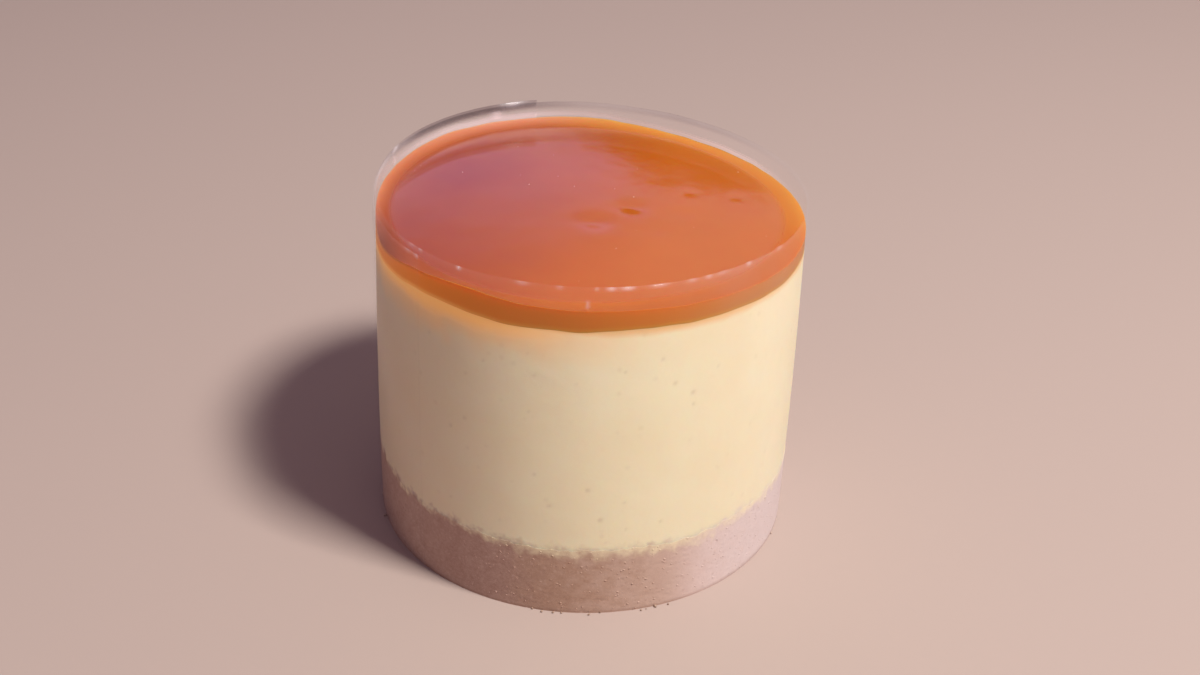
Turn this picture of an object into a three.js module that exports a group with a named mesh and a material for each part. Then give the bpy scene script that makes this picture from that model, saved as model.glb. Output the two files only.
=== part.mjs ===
// A single salted caramel cheesecake. A pressed biscuit base, a set cheesecake layer and a layer of
// caramel stand in a strip of clear film, which is wound round the cake and laps over itself on the left.
// Millimetres, +Z up, the front towards -Y, the origin on the ground under the middle of the whole.
import * as THREE from "three";

// Driving dimensions: the ring that the cake was set in, and the levels of its layers
const RING_DIAMETER = 76.2;
const BASE_HEIGHT = 13.9;
const CHEESE_TOP = 56.3;
const CAKE_HEIGHT = 59.5;

// The film strip, with its angles in degrees counted from +X towards +Y
const STRIP_HEIGHT = 63.5;
const STRIP_THICKNESS = 0.25;
const STRIP_START = 106; // the inner end, at the back
const STRIP_TURN = 480; // once round, and on to the front left
const STRIP_SLANT = 0.9; // how much higher the inner end stands
const STRIP_RISE = 32; // the angle over which the strip climbs onto its own inner end
const LAP_GAP = 0.15;
const LOOSE_ANGLE = 44; // the outer end stands off over this angle
const LOOSE_GAP = 0.5;

// How far the cake is from round: each swell has a number of lobes, the direction of one of them, and
// its size at the foot and at the rim of the film.
const SWELLS = [
  { lobes: 2, towards: 118, foot: 0.43, rim: 0.54 },
  { lobes: 3, towards: -5, foot: 0.19, rim: 0.55 },
];
const LEAN_IN = 0.85; // how much narrower the rim is than the foot
const BELLY = 0.35; // how far the side bulges at half height

// The surfaces between and on the layers
const FILM_GAP = 0.08; // between the cake and its film
const LAYER_GAP = 0.1; // between two layers
const BASE_WAVE = 0.35;
const BASE_LOW_SIDE = 283; // the cheesecake dips deepest into the base here
const CRUMB_RELIEF = 0.4;
const CHEESE_WAVE = 0.15;
const CHEESE_EDGE = [
  { towards: 200, width: 14, height: -0.9 },
  { towards: 236, width: 14, height: 0.45 },
]; // where the cheesecake's top edge lies lower, under a deeper sag of caramel, and higher
const CARAMEL_TILT = 0.3; // the caramel's top is this much higher at the left than in the middle
const MENISCUS_HEIGHT = 0.45;
const MENISCUS_WIDTH = 0.1; // as a share of the radius
const MENISCUS_TILT = 0.4; // the meniscus is this much higher at the left than in the middle
const CLIMBS = [
  { towards: 92, width: 20, height: 0.7 },
  { towards: 132, width: 22, height: 0.6 },
  { towards: 202, width: 16, height: -2.4 },
  { towards: 240, width: 11, height: 0.65 },
  { towards: 330, width: 25, height: -0.35 },
]; // where the caramel clings higher to the film, and where it slips lower
const DIMPLES = [
  { x: 1.1, y: -5.7, radius: 2.6, depth: 0.25 },
  { x: 7.8, y: 0.6, radius: 2.1, depth: 0.2 },
];

// Facets
const STEP = 4; // degrees a facet round the cake
const HIDDEN_RINGS = [0.5, 0.8, 1];
const TOP_RINGS = [0.06, 0.12, 0.18, 0.24, 0.3, 0.38, 0.5, 0.65, 0.8, 0.9, 0.94, 0.97, 1];
const FILM_LEVELS = 5;

const radians = THREE.MathUtils.degToRad;
const { smoothstep, lerp } = THREE.MathUtils;

// The inner face of the film at an angle in degrees and a height
function filmRadius(angle, z) {
  const rise = z / STRIP_HEIGHT;
  const swell = SWELLS.reduce(
    (sum, s) => sum + lerp(s.foot, s.rim, rise) * Math.cos(radians(s.lobes * (angle - s.towards))),
    0,
  );
  const upright = LEAN_IN * (0.5 - rise) + BELLY * 4 * rise * (1 - rise);
  return RING_DIAMETER / 2 + FILM_GAP + swell + upright;
}

// The sum of bells at an angle, each with a height and a width round the direction that it lies towards
function bells(list, angle) {
  return list.reduce((sum, { towards, width, height }) => {
    const away = THREE.MathUtils.euclideanModulo(angle - towards + 180, 360) - 180;
    return sum + height * Math.exp(-((away / width) ** 2));
  }, 0);
}

// A repeatable random share for a place on the cake's side
function chance(angle, level) {
  const n = Math.sin(Math.floor(angle / STEP) * 127.1 + level * 311.7) * 43758.5453;
  return n - Math.floor(n);
}

// Heights of the surfaces, for an angle in degrees and a share of the radius. Each is flat in the middle.
function baseTop(angle, share) {
  const wave = Math.cos(radians(2 * (angle - BASE_LOW_SIDE))) - 0.5 * Math.cos(radians(9 * angle));
  return BASE_HEIGHT - share ** 4 * BASE_WAVE * (wave + chance(angle, 0) - 0.5);
}

function cheeseTop(angle, share) {
  const wave = CHEESE_WAVE * (Math.cos(radians(5 * angle)) + Math.sin(radians(13 * angle)) / 2);
  return CHEESE_TOP + share ** 4 * (wave + bells(CHEESE_EDGE, angle));
}

function caramelTop(angle, share) {
  const leftwards = -Math.cos(radians(angle));
  const clinging = MENISCUS_HEIGHT + MENISCUS_TILT * leftwards + bells(CLIMBS, angle);
  const nearness = Math.max(0, 1 - (1 - share) / MENISCUS_WIDTH) ** 2;
  const radius = share * filmRadius(angle, CAKE_HEIGHT);
  const x = radius * Math.cos(radians(angle));
  const y = radius * Math.sin(radians(angle));
  const sunk = DIMPLES.reduce((sum, dimple) => {
    const away = Math.hypot(x - dimple.x, y - dimple.y) / dimple.radius;
    return sum + dimple.depth * Math.exp(-(away ** 2));
  }, 0);
  return CAKE_HEIGHT + CARAMEL_TILT * share * leftwards + clinging * nearness - sunk;
}

function look(color, roughness, extra = {}) {
  return new THREE.MeshStandardMaterial({ color, roughness, metalness: 0, ...extra });
}

// A round layer between two surfaces. It is turned as a profile of [share of the radius, share of the
// height], and then every point goes to its real radius and height. `relief` is the depth of the side.
function roundLayer({ name, material, bottom, top, rings, sideSteps, relief = () => 0 }) {
  const outwards = [0, ...HIDDEN_RINGS].map((share) => new THREE.Vector2(share, 0));
  const upwards = Array.from({ length: sideSteps }, (_, i) => new THREE.Vector2(1, (i + 1) / sideSteps));
  const inwards = [0, ...rings].map((share) => new THREE.Vector2(share, 1)).reverse();
  const profile = [...outwards, ...upwards, ...inwards.slice(1)];
  const geometry = new THREE.LatheGeometry(profile, 360 / STEP).rotateX(Math.PI / 2);
  const points = geometry.getAttribute("position");
  for (let i = 0; i < points.count; i++) {
    const share = Math.hypot(points.getX(i), points.getY(i));
    const angle = THREE.MathUtils.radToDeg(Math.atan2(points.getY(i), points.getX(i)));
    const level = points.getZ(i);
    const z = lerp(bottom(angle, share), top(angle, share), level);
    const onSide = share > 0.999 ? relief(angle, level) : 0;
    const radius = share * (filmRadius(angle, z) - FILM_GAP) - onSide;
    points.setXYZ(i, radius * Math.cos(radians(angle)), radius * Math.sin(radians(angle)), z);
  }
  const mesh = new THREE.Mesh(geometry, material);
  mesh.name = name;
  return mesh;
}

function biscuitBase() {
  return roundLayer({
    name: "biscuit_base",
    material: look("#c9a08a", 0.95),
    bottom: () => 0,
    top: baseTop,
    rings: HIDDEN_RINGS,
    sideSteps: 6,
    relief: (angle, level) => CRUMB_RELIEF * chance(angle, 1 + Math.round(6 * level)),
  });
}

function cheesecake() {
  return roundLayer({
    name: "cheesecake",
    material: look("#efd9ae", 0.6),
    bottom: (angle, share) => baseTop(angle, share) + LAYER_GAP,
    top: cheeseTop,
    rings: HIDDEN_RINGS,
    sideSteps: 5,
  });
}

function caramel() {
  return roundLayer({
    name: "caramel",
    material: look("#b9571c", 0.15),
    bottom: (angle, share) => cheeseTop(angle, share) + LAYER_GAP,
    top: caramelTop,
    rings: TOP_RINGS,
    sideSteps: 2,
  });
}

// How far the strip stands off the cake, at a turn in degrees from its inner end
function standOff(turn) {
  const overlap = STRIP_THICKNESS + LAP_GAP;
  const climbed = smoothstep(turn, 360 - STRIP_RISE - STEP, 360 - STEP);
  const loose = smoothstep(turn, STRIP_TURN - LOOSE_ANGLE, STRIP_TURN);
  return overlap * climbed + LOOSE_GAP * loose;
}

// The film collar: a flat strip with its length along X, bent round the cake
function filmCollar() {
  const steps = STRIP_TURN / STEP;
  const geometry = new THREE.BoxGeometry(STRIP_TURN, STRIP_HEIGHT, STRIP_THICKNESS, steps, FILM_LEVELS, 1);
  geometry.translate(STRIP_TURN / 2, STRIP_HEIGHT / 2, STRIP_THICKNESS / 2);
  const points = geometry.getAttribute("position");
  for (let i = 0; i < points.count; i++) {
    const turn = points.getX(i);
    const angle = STRIP_START + turn;
    const z = points.getY(i) + STRIP_SLANT * (1 - turn / STRIP_TURN);
    const radius = filmRadius(angle, points.getY(i)) + standOff(turn) + points.getZ(i);
    points.setXYZ(i, radius * Math.cos(radians(angle)), radius * Math.sin(radians(angle)), z);
  }
  const mesh = new THREE.Mesh(geometry, look("#f2e6e2", 0.05, { transparent: true, opacity: 0.3 }));
  mesh.name = "film_collar";
  return mesh;
}

const group = new THREE.Group();
group.add(biscuitBase(), cheesecake(), caramel(), filmCollar());

const middle = new THREE.Box3().setFromObject(group, true).getCenter(new THREE.Vector3());
group.children.forEach((mesh) => mesh.position.set(-middle.x, -middle.y, 0));

export default group;
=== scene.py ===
"""A salted caramel cheesecake in its clear film collar: the looks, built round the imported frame.

Lengths are metres and angles radians, unless a name says otherwise. The cake's own shapes are worked out
round its axis, and then moved together to where the frame has them.
"""

from __future__ import annotations

import logging
import math
from dataclasses import dataclass
from enum import Enum
from typing import Any, Callable, Sequence, Union

import bpy
import numpy as np
from mathutils import Matrix, Vector, noise

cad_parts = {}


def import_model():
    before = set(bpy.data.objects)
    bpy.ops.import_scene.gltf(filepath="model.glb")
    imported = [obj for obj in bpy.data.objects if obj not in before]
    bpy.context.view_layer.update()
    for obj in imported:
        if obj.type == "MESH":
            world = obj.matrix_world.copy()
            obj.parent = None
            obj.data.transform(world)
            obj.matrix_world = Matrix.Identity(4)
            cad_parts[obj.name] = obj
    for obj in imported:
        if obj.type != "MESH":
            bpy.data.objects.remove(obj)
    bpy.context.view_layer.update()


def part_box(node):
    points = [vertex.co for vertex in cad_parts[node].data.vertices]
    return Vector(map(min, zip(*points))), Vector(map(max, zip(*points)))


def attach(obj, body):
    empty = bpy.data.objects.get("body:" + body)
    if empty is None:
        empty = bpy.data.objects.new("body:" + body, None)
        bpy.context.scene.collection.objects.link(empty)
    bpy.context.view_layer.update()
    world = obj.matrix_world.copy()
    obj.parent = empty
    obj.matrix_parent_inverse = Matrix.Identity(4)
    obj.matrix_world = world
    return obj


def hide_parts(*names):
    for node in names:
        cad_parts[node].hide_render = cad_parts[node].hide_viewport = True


LOG = logging.getLogger("cheesecake")
MM = 0.001
BODY = "root"
PHOTO_WIDTH = 1200
SENSOR_WIDTH_MM = 36.0
SIDE_REACH = 38 * MM
BLACK = (0.0, 0.0, 0.0)

Colour = tuple[float, float, float]


# ---------------------------------------------------------------- node trees


class Interface(Enum):
    """The socket types that the node groups here use."""

    NUMBER = "NodeSocketFloat"
    VECTOR = "NodeSocketVector"
    GEOMETRY = "NodeSocketGeometry"


@dataclass(frozen=True)
class Field:
    """A value in a node tree, which plain arithmetic extends with Math nodes."""

    tree: bpy.types.NodeTree
    socket: bpy.types.NodeSocket

    def apply(self, operation: str, *others: "Value") -> "Field":
        """Adds one Math node.

        Args:
            operation: the Math node's operation.
            others: the values after this one.

        Returns:
            The node's result.
        """
        node = self.tree.nodes.new("ShaderNodeMath")
        node.operation = operation
        for place, value in enumerate((self, *others)):
            plug(self.tree, node.inputs[place], value)
        return Field(self.tree, node.outputs[0])

    def __add__(self, other: "Value") -> "Field":
        """The sum."""
        return self.apply("ADD", other)

    def __sub__(self, other: "Value") -> "Field":
        """The difference."""
        return self.apply("SUBTRACT", other)

    def __rsub__(self, other: float) -> "Field":
        """A plain number less this value."""
        return self.apply("MULTIPLY", -1.0) + other

    def __mul__(self, other: "Value") -> "Field":
        """The product."""
        return self.apply("MULTIPLY", other)

    def __truediv__(self, other: "Value") -> "Field":
        """The quotient."""
        return self.apply("DIVIDE", other)

    __radd__ = __add__
    __rmul__ = __mul__


Value = Union[float, Field]


def plug(tree: bpy.types.NodeTree, socket: bpy.types.NodeSocket, value: Any) -> None:
    """Feeds an input socket with a field, or sets it to a plain value.

    Args:
        tree: the tree that holds the socket.
        socket: the input.
        value: a Field, an output socket, or what the socket's default value takes.
    """
    if isinstance(value, Field):
        tree.links.new(value.socket, socket)
    elif isinstance(value, bpy.types.NodeSocket):
        tree.links.new(value, socket)
    else:
        socket.default_value = value


def cosine(angle: Field) -> Field:
    """The cosine of a field."""
    return angle.apply("COSINE")


class TreeMaker:
    """Adds nodes to one tree by kind, with their settings and inputs in one call."""

    def __init__(self, tree: bpy.types.NodeTree) -> None:
        """Keeps the tree."""
        self.tree = tree

    def node(self, kind: str, settings: dict[str, Any] | None = None, **inputs: Any) -> bpy.types.Node:
        """Adds a node.

        Args:
            kind: the node's type name.
            settings: the node's own properties.
            inputs: the values of its input sockets, by name, with spaces as underscores.

        Returns:
            The new node.
        """
        made = self.tree.nodes.new(kind)
        for name, value in (settings or {}).items():
            setattr(made, name, value)
        for name, value in inputs.items():
            plug(self.tree, made.inputs[name.replace("_", " ")], value)
        return made

    def field(self, kind: str, output: str, settings: dict[str, Any] | None = None, **inputs: Any) -> Field:
        """Adds a node and returns one of its outputs as a field."""
        return Field(self.tree, self.node(kind, settings, **inputs).outputs[output])

    def smooth(self, value: Value, low: float, high: float, bottom: float = 0.0, top: float = 1.0) -> Field:
        """A smooth step.

        Args:
            value: what the step follows.
            low: where it starts.
            high: where it ends.
            bottom: the result up to low.
            top: the result from high on.

        Returns:
            The result.
        """
        node = self.node("ShaderNodeMapRange", {"interpolation_type": "SMOOTHSTEP"})
        for place, given in enumerate((value, low, high, bottom, top)):
            plug(self.tree, node.inputs[place], given)
        return Field(self.tree, node.outputs[0])

    def mix(self, share: Any, first: Any, second: Any) -> Field:
        """Mixes two colours.

        Args:
            share: how much of the second colour there is, a number or a field.
            first: a plain colour or a field.
            second: likewise.

        Returns:
            The mixed colour.
        """
        node = self.node("ShaderNodeMix", {"data_type": "RGBA"})
        plug(self.tree, node.inputs["Factor"], share)
        for name, colour in (("A", first), ("B", second)):
            socket = next(s for s in node.inputs if s.name == name and s.type == "RGBA")
            plug(self.tree, socket, colour if isinstance(colour, Field) else (*colour, 1.0))
        return Field(self.tree, next(s for s in node.outputs if s.type == "RGBA"))


def group(
    name: str,
    kind: str,
    inputs: dict[str, tuple[Interface, Any]],
    outputs: dict[str, Interface],
) -> tuple[TreeMaker, bpy.types.Node, bpy.types.Node]:
    """Starts a node group.

    Args:
        name: the group's name.
        kind: ShaderNodeTree or GeometryNodeTree.
        inputs: for each input, its type and default value.
        outputs: the type of each output.

    Returns:
        A maker for the tree, its input node and its output node.
    """
    tree = bpy.data.node_groups.new(name, kind)
    for label, (socket_type, default) in inputs.items():
        socket = tree.interface.new_socket(label, in_out="INPUT", socket_type=socket_type.value)
        if default is not None:
            socket.default_value = default
    for label, socket_type in outputs.items():
        tree.interface.new_socket(label, in_out="OUTPUT", socket_type=socket_type.value)
    return TreeMaker(tree), tree.nodes.new("NodeGroupInput"), tree.nodes.new("NodeGroupOutput")


# ---------------------------------------------------------------- the cake's form


@dataclass(frozen=True)
class Swell:
    """One way in which the cake is out of round.

    lobes is how many times it swells round the cake, towards the direction of one of them in degrees, and
    foot and rim its size at the two ends of the film, in millimetres.
    """

    lobes: int
    towards: float
    foot: float
    rim: float


@dataclass(frozen=True)
class Bell:
    """A rise round one direction of the cake: its direction and width in degrees, and its height."""

    towards: float
    width: float
    height: float = 1.0


@dataclass(frozen=True)
class Dimple:
    """A shallow dent in the caramel: its place, radius and depth in millimetres."""

    x: float
    y: float
    radius: float
    depth: float


def bells(angle: np.ndarray, listed: Sequence[Bell]) -> np.ndarray:
    """The sum of some bells.

    Args:
        angle: directions, in radians.
        listed: the bells.

    Returns:
        Their height in each direction.
    """
    total = np.zeros_like(angle)
    for each in listed:
        away = (np.degrees(angle) - each.towards + 180.0) % 360.0 - 180.0
        total = total + each.height * np.exp(-((away / each.width) ** 2))
    return total


@dataclass(frozen=True)
class CakeForm:
    """The cake's outline and the heights of its layers, round its own axis.

    The waves and the ragged, crumbly and uneven parts are how far an edge strays, and the bells in climbs
    and cheese_edge where the caramel and the cheesecake cling higher to the film, all in millimetres.
    """

    ring_radius: float = 38.1 * MM
    film_gap: float = 0.08 * MM
    film_height: float = 63.5 * MM
    lean_in: float = 0.85 * MM
    belly: float = 0.35 * MM
    base_height: float = 13.9 * MM
    base_low_side: float = math.radians(283)
    base_wave: float = 0.35
    base_ragged: float = 0.5
    base_crumbly: float = 0.22
    cheese_top: float = 56.3 * MM
    cheese_wave: float = 0.15
    cheese_uneven: float = 0.2
    cake_height: float = 59.5 * MM
    meniscus: float = 0.45 * MM
    meniscus_share: float = 0.08
    meniscus_tilt: float = 0.4 * MM
    meniscus_uneven: float = 0.12 * MM
    tilt: float = 0.3 * MM
    swells: tuple[Swell, ...] = (Swell(2, 118, 0.43, 0.54), Swell(3, -5, 0.19, 0.55))
    climbs: tuple[Bell, ...] = (
        Bell(92, 20, 0.7),
        Bell(132, 22, 0.6),
        Bell(202, 16, -2.4),
        Bell(240, 11, 0.65),
        Bell(330, 25, -0.35),
    )
    cheese_edge: tuple[Bell, ...] = (Bell(200, 14, -0.9), Bell(236, 14, 0.45))
    dimples: tuple[Dimple, ...] = (
        Dimple(1.1, -5.7, 2.8, 0.085),
        Dimple(7.8, 0.6, 2.5, 0.067),
        Dimple(17.3, -1.0, 1.5, 0.018),
        Dimple(12.5, -8.0, 1.9, 0.018),
        Dimple(18.3, 7.3, 1.4, 0.012),
        Dimple(26.4, 6.2, 1.4, 0.015),
    )

    def film_radius(self, angle: Any, height: Any, cos: Callable[[Any], Any] = np.cos) -> Any:
        """The inner face of the film, for arrays or for node fields.

        Args:
            angle: the direction, in radians.
            height: the height above the ground.
            cos: the cosine that fits the arguments.

        Returns:
            The distance from the cake's axis.
        """
        rise = height / self.film_height
        radius = self.ring_radius + self.film_gap + self.lean_in * (0.5 - rise)
        radius = radius + 4.0 * self.belly * rise * (1.0 - rise)
        for swell in self.swells:
            size = swell.foot * MM + rise * ((swell.rim - swell.foot) * MM)
            turned = (angle - math.radians(swell.towards)) * float(swell.lobes)
            radius = radius + size * cos(turned)
        return radius

    def base_top(self, angle: np.ndarray, share: np.ndarray) -> np.ndarray:
        """The top of the base, which is flat in the middle and ragged at the film.

        Args:
            angle: directions, in radians.
            share: shares of the radius.

        Returns:
            The height at each direction and share.
        """
        wave = np.cos(2 * (angle - self.base_low_side)) - 0.5 * np.cos(9 * angle)
        ragged = ring_noise(angle, 1.6 * MM, 5.0, self.ring_radius)
        crumbly = ring_noise(angle, 0.6 * MM, 9.0, self.ring_radius)
        sunk = self.base_wave * wave + self.base_ragged * ragged + self.base_crumbly * crumbly
        return self.base_height - share**4 * sunk * MM

    def cheese_top_at(self, angle: np.ndarray, share: np.ndarray) -> np.ndarray:
        """The top of the cheesecake.

        Args:
            angle: directions, in radians.
            share: shares of the radius.

        Returns:
            The height at each direction and share.
        """
        wave = self.cheese_wave * (np.cos(5 * angle) + np.sin(13 * angle) / 2)
        wave = wave + self.cheese_uneven * ring_noise(angle, 5 * MM, 2.0, self.ring_radius)
        return self.cheese_top + share**4 * (wave + bells(angle, self.cheese_edge)) * MM

    def caramel_top(self, angle: np.ndarray, share: np.ndarray) -> np.ndarray:
        """The top of the caramel, with its meniscus along the film and its dimples.

        Args:
            angle: directions, in radians.
            share: shares of the radius.

        Returns:
            The height at each direction and share.
        """
        leftwards = -np.cos(angle)
        clinging = self.meniscus + self.meniscus_tilt * leftwards + bells(angle, self.climbs) * MM
        clinging = clinging + self.meniscus_uneven * ring_noise(angle, 4 * MM, 7.0, self.ring_radius)
        radius = share * self.film_radius(angle, self.cake_height)
        x, y = radius * np.cos(angle), radius * np.sin(angle)
        sunk = np.zeros_like(radius)
        for dimple in self.dimples:
            away = np.hypot(x / MM - dimple.x, y / MM - dimple.y) / dimple.radius
            sunk += dimple.depth * MM * np.exp(-(away**2))
        nearness = np.clip(1 - (1 - share) / self.meniscus_share, 0, 1) ** 2
        return self.cake_height + self.tilt * share * leftwards + clinging * nearness - sunk


def rough(points: np.ndarray, size: float, octaves: int = 1) -> np.ndarray:
    """Smooth repeatable noise.

    Args:
        points: places, one row each.
        size: the size of a bump.
        octaves: how many finer layers are added.

    Returns:
        Values from about -1 to 1.
    """
    scaled = points / size
    if octaves == 1:
        return np.array([noise.noise(Vector(p)) for p in scaled])
    return np.array([noise.fractal(Vector(p), 0.8, 2.1, octaves) for p in scaled])


def ring_noise(angle: np.ndarray, size: float, shift: float, radius: float) -> np.ndarray:
    """Noise along a circle, which closes on itself.

    Args:
        angle: directions, in radians.
        size: the size of a bump.
        shift: a different value gives other noise.
        radius: the circle's radius.

    Returns:
        Values from about -1 to 1, one for each direction.
    """
    flat = np.ravel(angle)
    known, back = np.unique(np.round(flat, 7), return_inverse=True)
    places = np.stack([radius * np.cos(known), radius * np.sin(known), np.full_like(known, shift * size)], 1)
    return rough(places, size)[back].reshape(np.shape(angle))


# ---------------------------------------------------------------- mesh making


def new_object(name: str, mesh: bpy.types.Mesh, materials: Sequence[bpy.types.Material]) -> bpy.types.Object:
    """Links a mesh into the scene.

    Args:
        name: the object's name.
        mesh: its mesh.
        materials: what the mesh is made of.

    Returns:
        The new object, at the origin.
    """
    made = bpy.data.objects.new(name, mesh)
    bpy.context.scene.collection.objects.link(made)
    for material in materials:
        mesh.materials.append(material)
    return made


def mesh_points(mesh: bpy.types.Mesh) -> np.ndarray:
    """Reads a mesh's vertices.

    Args:
        mesh: the mesh.

    Returns:
        Their places, one row each.
    """
    points = np.empty(len(mesh.vertices) * 3, np.float32)
    mesh.vertices.foreach_get("co", points)
    return points.reshape(-1, 3).astype(float)


def move_points(mesh: bpy.types.Mesh, points: np.ndarray) -> None:
    """Puts a mesh's vertices at new places."""
    mesh.vertices.foreach_set("co", points.astype(np.float32).ravel())
    mesh.update()


@dataclass(frozen=True)
class TurnedLayer:
    """A closed round layer between two surfaces, as a fine grid.

    across is the number of facets round it, side_steps those up its side, and the rings are shares of the
    radius on the hidden and the shown face. Edges that turn more than sharp are shaded as corners.
    """

    across: int
    side_steps: int
    bottom_rings: tuple[float, ...]
    top_rings: tuple[float, ...]
    sharp: float = math.radians(60)

    def profile(self) -> tuple[np.ndarray, np.ndarray]:
        """The layer's outline, from the lower to the upper pole.

        Returns:
            The share of the radius at each point, and the share of the height.
        """
        up = [(1.0, (i + 1) / self.side_steps) for i in range(self.side_steps)]
        inward = [(share, 1.0) for share in reversed(self.top_rings[:-1])]
        points = [(share, 0.0) for share in self.bottom_rings] + up + inward
        return np.array([p[0] for p in points]), np.array([p[1] for p in points])

    def build(
        self,
        name: str,
        bottom: Callable[[np.ndarray, np.ndarray], np.ndarray],
        top: Callable[[np.ndarray, np.ndarray], np.ndarray],
        radius: Callable[[np.ndarray, np.ndarray], np.ndarray],
    ) -> bpy.types.Mesh:
        """Makes the mesh.

        Args:
            name: the mesh's name.
            bottom: the lower surface's height, from the direction and the share of the radius.
            top: the upper surface's height, likewise.
            radius: the side's distance from the axis, from the direction and the height.

        Returns:
            A closed mesh with its faces outwards, and the attribute "side", 1 on the side's vertices.
        """
        share, level = (a[:, None] for a in self.profile())
        angle = np.arange(self.across)[None, :] * (2 * math.pi / self.across)
        angle, share, level = np.broadcast_arrays(angle, share, level)
        height = bottom(angle, share) * (1 - level) + top(angle, share) * level
        reach = share * radius(angle, height)
        grid = np.stack([reach * np.cos(angle), reach * np.sin(angle), height], -1)
        at_pole = np.zeros(1)
        poles = [[0.0, 0.0, float(face(at_pole, at_pole)[0])] for face in (bottom, top)]
        points = np.concatenate([grid.reshape(-1, 3), np.array(poles)])
        mesh = bpy.data.meshes.new(name)
        mesh.from_pydata(points.tolist(), [], self.faces(len(grid)))
        mesh.polygons.foreach_set("use_smooth", [True] * len(mesh.polygons))
        side = mesh.attributes.new("side", "FLOAT", "POINT")
        side.data.foreach_set("value", np.append((share > 0.999).ravel(), [False, False]).astype(np.float32))
        mesh.update()
        mesh.set_sharp_from_angle(angle=self.sharp)
        return mesh

    def faces(self, rings: int) -> list[tuple[int, ...]]:
        """The faces of the grid and of the fans at its two poles.

        Args:
            rings: how many rings of points the grid has.

        Returns:
            The numbers of the points of each face.
        """
        count = self.across
        lower, upper = rings * count, rings * count + 1
        after = [(j + 1) % count for j in range(count)]
        fans = [(lower, after[j], j) for j in range(count)]
        last = (rings - 1) * count
        fans += [(last + j, last + after[j], upper) for j in range(count)]
        quads = [
            (i * count + j, i * count + after[j], (i + 1) * count + after[j], (i + 1) * count + j)
            for i in range(rings - 1)
            for j in range(count)
        ]
        return fans + quads


def even_rings(count: int, crowding: float = 1.0) -> tuple[float, ...]:
    """Shares of the radius from near the axis to 1, closer together at the edge for a crowding over 1."""
    steps = (np.arange(count) + 1) / count
    return tuple(float(s) for s in 1 - (1 - steps) ** crowding)


def grown(
    name: str,
    carrier: bpy.types.Object,
    tree: bpy.types.NodeTree,
    sizes: dict[str, float],
) -> bpy.types.Object:
    """Runs a Geometry Nodes tree on an object and keeps the result as a plain mesh.

    Args:
        name: the new object's name.
        carrier: the object that the modifier is put on for a moment.
        tree: the tree.
        sizes: what its named inputs are set to.

    Returns:
        A new object at the origin.
    """
    modifier = carrier.modifiers.new(name, "NODES")
    modifier.node_group = tree
    for item in tree.interface.items_tree:
        if item.item_type == "SOCKET" and item.in_out == "INPUT" and item.name in sizes:
            modifier[item.identifier] = sizes[item.name]
    graph = bpy.context.evaluated_depsgraph_get()
    mesh = bpy.data.meshes.new_from_object(carrier.evaluated_get(graph))
    carrier.modifiers.remove(modifier)
    mesh.name = name
    return new_object(name, mesh, [])


# ---------------------------------------------------------------- shared effects


def mottle_group() -> bpy.types.NodeTree:
    """Soft uneven patches: a noise of a given size, spread to run from 0 to 1.

    Returns:
        The group's tree.
    """
    inputs = {
        "Place": (Interface.VECTOR, None),
        "Size": (Interface.NUMBER, 1 * MM),
        "Detail": (Interface.NUMBER, 2.0),
        "Contrast": (Interface.NUMBER, 1.6),
    }
    maker, start, end = group("mottle", "ShaderNodeTree", inputs, {"Value": Interface.NUMBER})
    scale = Field(maker.tree, start.outputs["Size"]).apply("POWER", -1.0)
    texture = maker.field(
        "ShaderNodeTexNoise",
        "Fac",
        Vector=start.outputs["Place"],
        Scale=scale,
        Detail=start.outputs["Detail"],
    )
    spread = (texture - 0.5) * Field(maker.tree, start.outputs["Contrast"]) + 0.5
    spread.socket.node.use_clamp = True
    maker.tree.links.new(spread.socket, end.inputs["Value"])
    return maker.tree


def speckle_group() -> bpy.types.NodeTree:
    """Scattered grains: cells of a given size, of which a share is picked, each a soft dot.

    Returns:
        The group's tree.
    """
    inputs = {
        "Place": (Interface.VECTOR, None),
        "Size": (Interface.NUMBER, 1 * MM),
        "Share": (Interface.NUMBER, 0.2),
        "Reach": (Interface.NUMBER, 0.45),
    }
    maker, start, end = group("speckle", "ShaderNodeTree", inputs, {"Mask": Interface.NUMBER})
    scale = Field(maker.tree, start.outputs["Size"]).apply("POWER", -1.0)
    cells = maker.node("ShaderNodeTexVoronoi", Vector=start.outputs["Place"], Scale=scale)
    drawn = maker.field("ShaderNodeSeparateColor", "Red", Color=cells.outputs["Color"])
    picked = drawn.apply("LESS_THAN", Field(maker.tree, start.outputs["Share"]))
    reach = Field(maker.tree, start.outputs["Reach"])
    near = 1.0 - Field(maker.tree, cells.outputs["Distance"]) / reach
    dots = (near.apply("MAXIMUM", 0.0) * picked).apply("SQRT")
    maker.tree.links.new(dots.socket, end.inputs["Mask"])
    return maker.tree


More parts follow.
